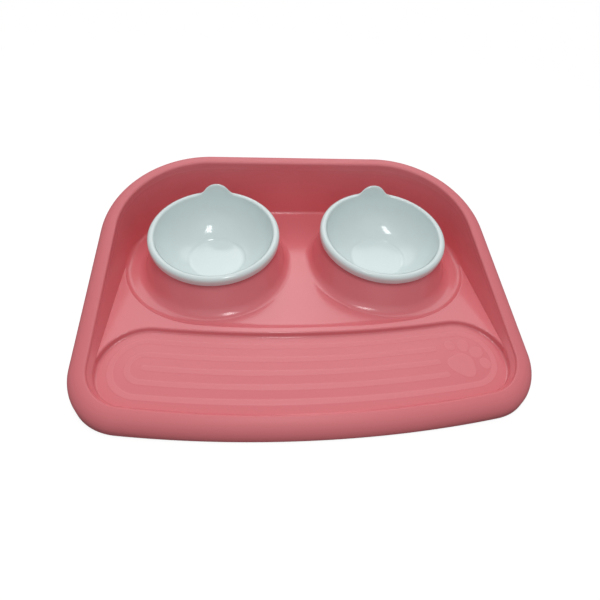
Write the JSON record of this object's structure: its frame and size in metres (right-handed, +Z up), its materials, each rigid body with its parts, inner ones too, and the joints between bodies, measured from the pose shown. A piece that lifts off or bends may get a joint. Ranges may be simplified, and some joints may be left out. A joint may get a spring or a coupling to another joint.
{
  "type": "double pet bowl",
  "caption": "Moulded spill tray with a sloping rolled rim and raised tilted collars that carry lift-out round feeding bowls with thumb tabs.",
  "frame": {"origin": "on the table, under the middle of the tray's outline", "axes": "+X towards the right of the tray as the animal's keeper sees it from the low front, +Y towards the high back wall, +Z up"},
  "size_m": [0.391, 0.3068, 0.0821],
  "materials": {
    "tray_plastic": "glossy pink",
    "bowl_plastic": "glossy cool white",
    "foot_rubber": "matt grey"
  },
  "bodies": {
    "tray": {"tray": "tray_plastic", "foot_front_left": "foot_rubber", "foot_front_right": "foot_rubber", "foot_back_left": "foot_rubber", "foot_back_right": "foot_rubber"},
    "bowl_left": {"bowl_left": "bowl_plastic"},
    "bowl_right": {"bowl_right": "bowl_plastic"}
  },
  "joints": [
    {"name": "bowl_left_lift", "type": "slide", "parent": "tray", "child": "bowl_left", "axis": [0, -0.1219, 0.9925], "range_m": [0, 0.12]},
    {"name": "bowl_right_lift", "type": "slide", "parent": "tray", "child": "bowl_right", "axis": [0, -0.1219, 0.9925], "range_m": [0, 0.12]}
  ]
}
